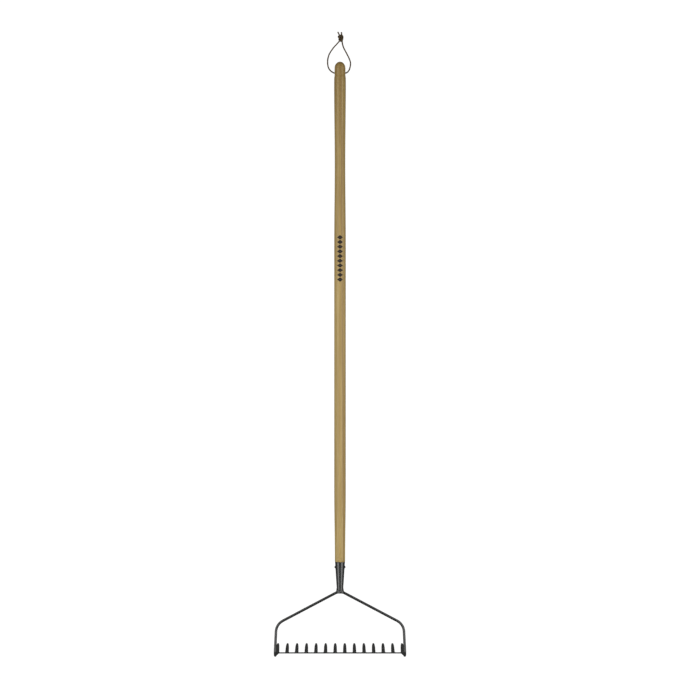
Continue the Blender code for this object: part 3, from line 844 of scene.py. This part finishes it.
def socket(finish):
    """The rolled tube, open along its seam on the tine side, its edges softened."""
    line = swept([(r, y, 0) for y, r in SOCKET_OUTER], 0.003)
    outer = [(float(r), float(y)) for r, y, _ in line]
    inner = [(r - SOCKET_WALL, y) for r, y in reversed(outer)]
    loop = outer + inner
    columns = SOCKET_COLUMNS
    points = []
    for radius, y in loop:
        gap = SEAM / 2 / radius
        turns = np.linspace(-math.pi / 2 + gap, 3 * math.pi / 2 - gap, columns)
        points += [(radius * math.cos(a), y, radius * math.sin(a)) for a in turns]
    faces = grid_faces(len(loop), columns, False)
    last = columns * (len(loop) - 1)
    faces += [(last + c, last + c + 1, c + 1, c) for c in range(columns - 1)]
    for c in (0, columns - 1):
        for r in range(len(outer) - 1):
            near, far = r * columns + c, last - r * columns + c
            faces.append((near, near + columns, far - columns, far))
    mesh = mesh_of("socket_tube", points, faces)
    obj = piece("socket_tube", mesh, RAKE, "rake", finish, "coated_steel", "socket")
    soften(obj, SOCKET_EDGE)
    settle(obj)
    cut(obj, rivet_drill("rivet_room"))


def across_at(y):
    """The place of something turned about an axis across the handle at Y."""
    return RAKE @ Matrix.Translation((0, y, 0)) @ Matrix.Rotation(math.pi / 2, 4, "Z")


def rivet_drill(name):
    """A cutter for the rivet's hole."""
    radius = RIVET + RIVET_ROOM
    profile = [(0, -DRILL_REACH), (radius, -DRILL_REACH), (radius, DRILL_REACH), (0, DRILL_REACH)]
    return cutter(lathe(name, profile, RIVET_SIDES), across_at(RIVET_Y))


def rivet(finish):
    """A pin across socket and tang with a peened dome on each side."""
    seat = socket_radius(RIVET_Y + RIVET_HEAD) + HEAD_SEAT
    sunk = socket_radius(RIVET_Y - RIVET_HEAD) - HEAD_SUNK
    dome = arc((0, seat + HEAD_RIM), (RIVET_HEAD, RIVET_HEAD_HEIGHT - HEAD_RIM), 0, 90, 9)
    half = [(RIVET, 0), (RIVET, sunk), (RIVET_HEAD, sunk)] + dome
    mesh = lathe("socket_rivet_pin", [(r, -y) for r, y in reversed(half)] + half[1:], RIVET_SIDES)
    rng = np.random.default_rng(7)
    dents = rng.normal(size=(DENTS, 3))
    dents /= np.linalg.norm(dents, axis=1)[:, None]
    for vert in mesh.vertices:
        x, y, z = vert.co
        if abs(y) > seat + DENT_ABOVE:
            facing = np.array(Vector((x, y - math.copysign(seat, y), z)).normalized())
            near = max(0.0, float((dents @ facing).max()) - DENT_FROM) / DENT_SPAN
            vert.co.y -= math.copysign(DENT_DEPTH * near, y)
    piece("socket_rivet_pin", mesh, across_at(RIVET_Y), "rake", finish, "rivet_steel", "socket_rivet")


def socket_weld(finish):
    """The fused bead that flares from the socket's foot on to the rod, rippled round."""
    profile = swept([(r, y, 0) for r, y in SOCKET_WELD], 0.0006)
    loop = [(0.0, SOCKET_WELD[0][1]), *[(max(0.0, float(r)), float(y)) for r, y, _ in profile]]
    mesh = lathe("socket_weld_bead", loop, HANDLE_SIDES)
    for vert in mesh.vertices:
        angle = math.atan2(vert.co.z, vert.co.x)
        ripple = 0.020 * math.sin(13 * angle + 620 * vert.co.y)
        ripple += 0.016 * math.sin(1500 * vert.co.y + 2 * angle)
        vert.co.x *= 1 + ripple * 0.7
        vert.co.z *= SOCKET_WELD_THIN * (1 + ripple)
    piece("socket_weld_bead", mesh, RAKE, "rake", finish, "weld_bead", "socket_weld")


def lap_weld(side, finish):
    """The rippled bead in the corner between the rod's lapped end and the comb's outer face."""
    name = "comb_weld_bead_left" if side < 0 else "comb_weld_bead_right"
    node = "comb_weld_left" if side < 0 else "comb_weld_right"
    depths = np.linspace(*LAP_WELD_DEPTHS, LAP_WELD_POINTS)
    inward = np.interp(depths, LAP_DEPTHS, LAP_X) - LAP_WELD_INWARD
    path = [(side * x, plate_under(d) - LAP_WELD_SUNK, -d) for x, d in zip(inward, depths)]
    swell = np.interp(np.linspace(0, 1, LAP_WELD_POINTS), *LAP_WELD_SWELL)

    def bump(far, angles):
        ripple = np.sin(2 * math.pi * far / LAP_WELD_RIPPLE + 0.8 * np.cos(angles + side))
        return 1 + 0.055 * ripple + 0.02 * np.sin(900 * far)

    points, radii = rounded_ends(path, LAP_WELD * swell)
    mesh = tube(name, points, radii, 24, bump)
    piece(name, mesh, RAKE, "rake", finish, "weld_bead", node)


# ---------------------------------------------------------------- the handle


def handle_profile():
    """(radius, Y) points from the domed top down the outside to the tang's end."""
    dome = arc((0, HANDLE_TOP - DOME_HEIGHT), (NECK, DOME_HEIGHT), 90, 0, DOME_STEPS)
    shoulder = eased((NECK_Y, NECK), (NECK_FOOT, SHOULDER), SHOULDER_STEPS)[1:] + [(SHOULDER, NECK_FOOT)]
    shaft = []
    for low, high in zip(HANDLE_SHAPE, HANDLE_SHAPE[1:]):
        shaft += eased(low, high, CURVE_STEPS)
    shaft.append(HANDLE_SHAPE[-1][::-1])
    rim_y, rim_radius = HANDLE_SHAPE[0]
    shaft[0] = (rim_radius, rim_y + HANDLE_CHAMFER)
    tang_levels = (rim_y, SOCKET_OUTER[1][0], SOCKET_OUTER[2][0], TANG_FOOT)
    tang = [(socket_radius(y) - SOCKET_WALL - TANG_FIT, y) for y in tang_levels]
    rim = [(rim_radius - HANDLE_CHAMFER, rim_y)]
    return dome + shoulder + shaft[::-1] + rim + tang + [(0, TANG_FOOT)]


def eased(start, end, steps):
    """(radius, Y) points from one (Y, radius) towards the next, level at both; the end is left out."""
    (y0, r0), (y1, r1) = start, end
    shares = [k / steps for k in range(steps)]
    return [(r0 + (r1 - r0) * t * t * (3 - 2 * t), y0 + (y1 - y0) * t) for t in shares]


def handle(finish):
    """The turned stick with its rivet hole and the thong's hole, whose mouths are eased."""
    mesh = lathe("ash_handle", handle_profile(), HANDLE_SIDES)
    obj = piece("ash_handle", mesh, RAKE, "rake", finish, "ash", "handle")
    mouth = arc((HOLE + HOLE_FLARE, NECK - HOLE_FLARE), (HOLE_FLARE, HOLE_FLARE), 180, 90, 5)
    wide = HOLE + 2 * HOLE_FLARE
    half = [(HOLE, 0), *mouth, (wide, NECK + 0.0002), (wide, FLARE_REACH), (0, FLARE_REACH)]
    flared = lathe("thong_room", [(r, -y) for r, y in reversed(half)] + half[1:], 48)
    cut(obj, rivet_drill("tang_hole"), cutter(flared, across_at(HOLE_Y)))


# ---------------------------------------------------------------- light and floor


def softbox(name, place, towards, size, power):
    data = bpy.data.lights.new(name, "AREA")
    data.shape = "RECTANGLE"
    data.size, data.size_y = size
    data.energy = power
    made = bpy.data.objects.new(name, data)
    bpy.context.scene.collection.objects.link(made)
    made.location = place
    made.rotation_euler = (Vector(towards) - Vector(place)).to_track_quat("-Z", "Y").to_euler()


def backdrop(name, edit, finish, casts):
    """A stage piece that the rake neither mirrors nor takes light from."""
    mesh = bpy.data.meshes.new(name)
    edit.to_mesh(mesh)
    edit.free()
    mesh.materials.append(finish)
    made = bpy.data.objects.new(name, mesh)
    bpy.context.scene.collection.objects.link(made)
    made.visible_diffuse = False
    made.visible_glossy = False
    made.visible_shadow = casts
    return made


def studio():
    """A pale floor, a pale dome round it, two long softboxes beside the rake and a dim surround."""
    bpy.context.scene.view_settings.view_transform = "Standard"
    paper = Finish("floor_paper").finish(
        Base_Color=FLOOR_GREY,
        Roughness=0.9,
        Specular_IOR_Level=0.1,
        Emission_Color=WHITE,
        Emission_Strength=FLOOR_GLOW,
    )
    edit = bmesh.new()
    bmesh.ops.create_circle(edit, cap_ends=True, segments=64, radius=STAGE_RADIUS)
    backdrop("floor", edit, paper, True).location.z = FLOOR_Z
    sky = Finish("dome_paper").finish(
        Base_Color=(0, 0, 0, 1), Roughness=1.0, Emission_Color=WHITE, Emission_Strength=1.0
    )
    edit = bmesh.new()
    bmesh.ops.create_uvsphere(edit, u_segments=48, v_segments=24, radius=STAGE_RADIUS)
    backdrop("dome", edit, sky, False)
    world = bpy.data.worlds.new("surround")
    world.use_nodes = True
    background = world.node_tree.nodes["Background"]
    background.inputs["Color"].default_value = WHITE
    background.inputs["Strength"].default_value = SURROUND
    bpy.context.scene.world = world
    for side in (-1, 1):
        softbox(f"softbox_{side}", (side * SOFTBOX_X, 0.0, SOFTBOX_Z), (0, 0, 0), SOFTBOX_SIZE, SOFTBOX_POWER)


camera()
lace = leather()
thong(lace)
steel = coated_steel("dark_coated_steel", STEEL, STEEL_ROUGHNESS)
comb(steel)
bow(steel)
socket(steel)
rivet(coated_steel("rivet_steel", RIVET_STEEL, RIVET_ROUGHNESS))
bead = coated_steel("coated_weld", BEAD, BEAD_ROUGHNESS, BEAD_PEEL)
socket_weld(bead)
lap_weld(-1, bead)
lap_weld(1, bead)
handle(ash())
studio()
